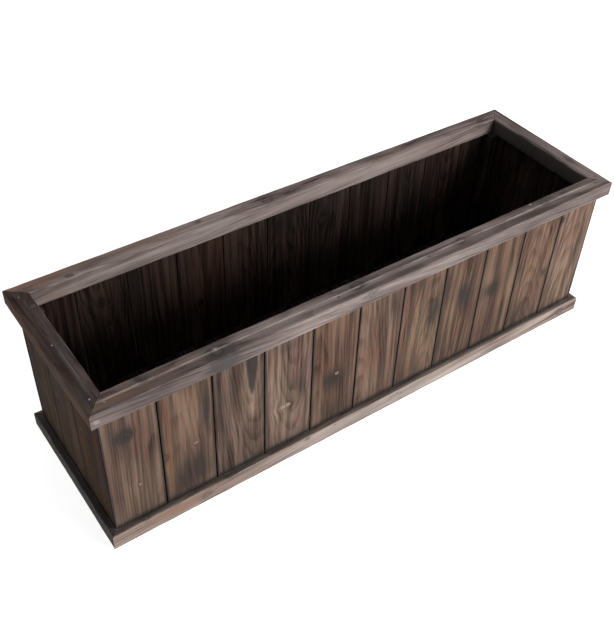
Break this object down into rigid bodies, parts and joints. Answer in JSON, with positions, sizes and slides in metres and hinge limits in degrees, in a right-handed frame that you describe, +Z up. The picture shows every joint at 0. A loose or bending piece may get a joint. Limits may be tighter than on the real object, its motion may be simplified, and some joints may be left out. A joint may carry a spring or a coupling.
{
  "type": "planter box",
  "caption": "Long open-topped rectangular planter box of upright dark-stained boards, with a mitred stepped rim and a mitred trim strip round the foot.",
  "frame": {"origin": "centre of the footprint, on the ground under the planter", "axes": "+X along the long front from left to right, +Y from the front to the back, +Z up through the open top"},
  "size_m": [1, 0.3, 0.304],
  "materials": {
    "rim_wood": "dark carbonised softwood, matt, weathered grey-brown",
    "trim_wood": "dark carbonised softwood, matt, with paler worn edges",
    "board_wood": "brushed carbonised softwood, matt, brown with dark knots",
    "frame_wood": "rough sawn softwood stained almost black",
    "brad_steel": "zinc-plated brads, dulled"
  },
  "bodies": {
    "root": {"rim_front": "rim_wood", "rim_right": "rim_wood", "rim_back": "rim_wood", "rim_left": "rim_wood", "trim_front": "trim_wood", "trim_right": "trim_wood", "trim_back": "trim_wood", "trim_left": "trim_wood", "front_board_1": "board_wood", "front_board_2": "board_wood", "front_board_3": "board_wood", "front_board_4": "board_wood", "front_board_5": "board_wood", "front_board_6": "board_wood", "front_board_7": "board_wood", "front_board_8": "board_wood", "front_board_9": "board_wood", "front_board_10": "board_wood", "front_board_11": "board_wood", "right_board_1": "board_wood", "right_board_2": "board_wood", "right_board_3": "board_wood", "back_board_1": "board_wood", "back_board_2": "board_wood", "back_board_3": "board_wood", "back_board_4": "board_wood", "back_board_5": "board_wood", "back_board_6": "board_wood", "back_board_7": "board_wood", "back_board_8": "board_wood", "back_board_9": "board_wood", "back_board_10": "board_wood", "back_board_11": "board_wood", "left_board_1": "board_wood", "left_board_2": "board_wood", "left_board_3": "board_wood", "post_front_left": "frame_wood", "post_front_right": "frame_wood", "post_back_right": "frame_wood", "post_back_left": "frame_wood", "batten_front": "frame_wood", "batten_right": "frame_wood", "batten_back": "frame_wood", "batten_left": "frame_wood", "floor_board_1": "frame_wood", "floor_board_2": "frame_wood", "floor_board_3": "frame_wood", "floor_board_4": "frame_wood", "floor_board_5": "frame_wood", "floor_board_6": "frame_wood", "floor_board_7": "frame_wood", "floor_board_8": "frame_wood", "floor_board_9": "frame_wood", "floor_board_10": "frame_wood", "rim_brads": "brad_steel", "trim_brads": "brad_steel", "board_brads": "brad_steel", "post_brads": "brad_steel", "floor_brads": "brad_steel"}
  },
  "joints": []
}
